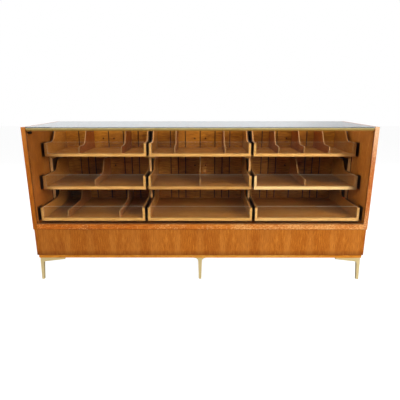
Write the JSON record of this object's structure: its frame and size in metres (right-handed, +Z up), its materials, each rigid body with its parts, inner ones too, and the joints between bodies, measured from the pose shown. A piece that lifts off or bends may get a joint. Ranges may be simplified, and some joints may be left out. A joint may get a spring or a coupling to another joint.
{
  "type": "display cabinet",
  "caption": "Glazed oak shop counter cabinet: stepped drawers show through the glass front and pull out at the rear, on a plinth with slim metal legs.",
  "frame": {"origin": "on the floor, at the middle of the whole cabinet with its handles", "axes": "+X along the cabinet's width, the glass front faces -Y, drawers pull out to +Y, +Z up"},
  "size_m": [1.83, 0.52, 0.858],
  "materials": {
    "oak_panel": "satin varnish",
    "oak_inside": "satin varnish",
    "oak_rail": "satin varnish with pale flecks",
    "plinth_veneer": "satin veneer",
    "sub_base_veneer": "satin veneer",
    "runner_wood": "plain planed wood",
    "drawer_wood": "satin varnish",
    "drawer_back_wood": "satin varnish",
    "divider_ply": "plywood with pale edges",
    "glass": "clear",
    "brass": "polished",
    "handle_brass": "satin",
    "leg_metal": "satin gold",
    "screw_steel": "zinc"
  },
  "bodies": {
    "cabinet": {"end_panel_left": "oak_panel", "end_panel_right": "oak_panel", "base_board": "oak_inside", "front_rail": "oak_rail", "rear_top_rail": "oak_inside", "uprights": "oak_inside", "side_posts": "oak_inside", "drawer_runners": "runner_wood", "glass_top": "glass", "glass_front": "glass", "brass_edge_strip": "brass", "plinth_front": "plinth_veneer", "plinth_frame": "plinth_veneer", "sub_base": "sub_base_veneer", "corner_legs": "leg_metal", "centre_legs": "leg_metal", "leg_screws": "screw_steel"},
    "drawer_bottom_left": {"drawer_bottom_left_box": "drawer_wood", "drawer_bottom_left_back": "drawer_back_wood", "drawer_bottom_left_glass": "glass", "drawer_bottom_left_handle": "handle_brass", "drawer_bottom_left_dividers": "divider_ply"},
    "drawer_bottom_centre": {"drawer_bottom_centre_box": "drawer_wood", "drawer_bottom_centre_back": "drawer_back_wood", "drawer_bottom_centre_glass": "glass", "drawer_bottom_centre_handle": "handle_brass"},
    "drawer_bottom_right": {"drawer_bottom_right_box": "drawer_wood", "drawer_bottom_right_back": "drawer_back_wood", "drawer_bottom_right_glass": "glass", "drawer_bottom_right_handle": "handle_brass"},
    "drawer_middle_left": {"drawer_middle_left_box": "drawer_wood", "drawer_middle_left_back": "drawer_back_wood", "drawer_middle_left_glass": "glass", "drawer_middle_left_handle": "handle_brass", "drawer_middle_left_dividers": "divider_ply"},
    "drawer_middle_centre": {"drawer_middle_centre_box": "drawer_wood", "drawer_middle_centre_back": "drawer_back_wood", "drawer_middle_centre_glass": "glass", "drawer_middle_centre_handle": "handle_brass", "drawer_middle_centre_dividers": "divider_ply"},
    "drawer_middle_right": {"drawer_middle_right_box": "drawer_wood", "drawer_middle_right_back": "drawer_back_wood", "drawer_middle_right_glass": "glass", "drawer_middle_right_handle": "handle_brass", "drawer_middle_right_dividers": "divider_ply"},
    "drawer_top_left": {"drawer_top_left_box": "drawer_wood", "drawer_top_left_back": "drawer_back_wood", "drawer_top_left_glass": "glass", "drawer_top_left_handle": "handle_brass", "drawer_top_left_dividers": "divider_ply"},
    "drawer_top_centre": {"drawer_top_centre_box": "drawer_wood", "drawer_top_centre_back": "drawer_back_wood", "drawer_top_centre_glass": "glass", "drawer_top_centre_handle": "handle_brass", "drawer_top_centre_dividers": "divider_ply"},
    "drawer_top_right": {"drawer_top_right_box": "drawer_wood", "drawer_top_right_back": "drawer_back_wood", "drawer_top_right_glass": "glass", "drawer_top_right_handle": "handle_brass", "drawer_top_right_dividers": "divider_ply"}
  },
  "joints": [
    {"name": "drawer_bottom_left_slide", "type": "slide", "parent": "cabinet", "child": "drawer_bottom_left", "axis": [0, 1, 0], "range_m": [0, 0.38]},
    {"name": "drawer_bottom_centre_slide", "type": "slide", "parent": "cabinet", "child": "drawer_bottom_centre", "axis": [0, 1, 0], "range_m": [0, 0.38]},
    {"name": "drawer_bottom_right_slide", "type": "slide", "parent": "cabinet", "child": "drawer_bottom_right", "axis": [0, 1, 0], "range_m": [0, 0.38]},
    {"name": "drawer_middle_left_slide", "type": "slide", "parent": "cabinet", "child": "drawer_middle_left", "axis": [0, 1, 0], "range_m": [0, 0.31]},
    {"name": "drawer_middle_centre_slide", "type": "slide", "parent": "cabinet", "child": "drawer_middle_centre", "axis": [0, 1, 0], "range_m": [0, 0.31]},
    {"name": "drawer_middle_right_slide", "type": "slide", "parent": "cabinet", "child": "drawer_middle_right", "axis": [0, 1, 0], "range_m": [0, 0.31]},
    {"name": "drawer_top_left_slide", "type": "slide", "parent": "cabinet", "child": "drawer_top_left", "axis": [0, 1, 0], "range_m": [0, 0.25]},
    {"name": "drawer_top_centre_slide", "type": "slide", "parent": "cabinet", "child": "drawer_top_centre", "axis": [0, 1, 0], "range_m": [0, 0.25]},
    {"name": "drawer_top_right_slide", "type": "slide", "parent": "cabinet", "child": "drawer_top_right", "axis": [0, 1, 0], "range_m": [0, 0.25]}
  ]
}
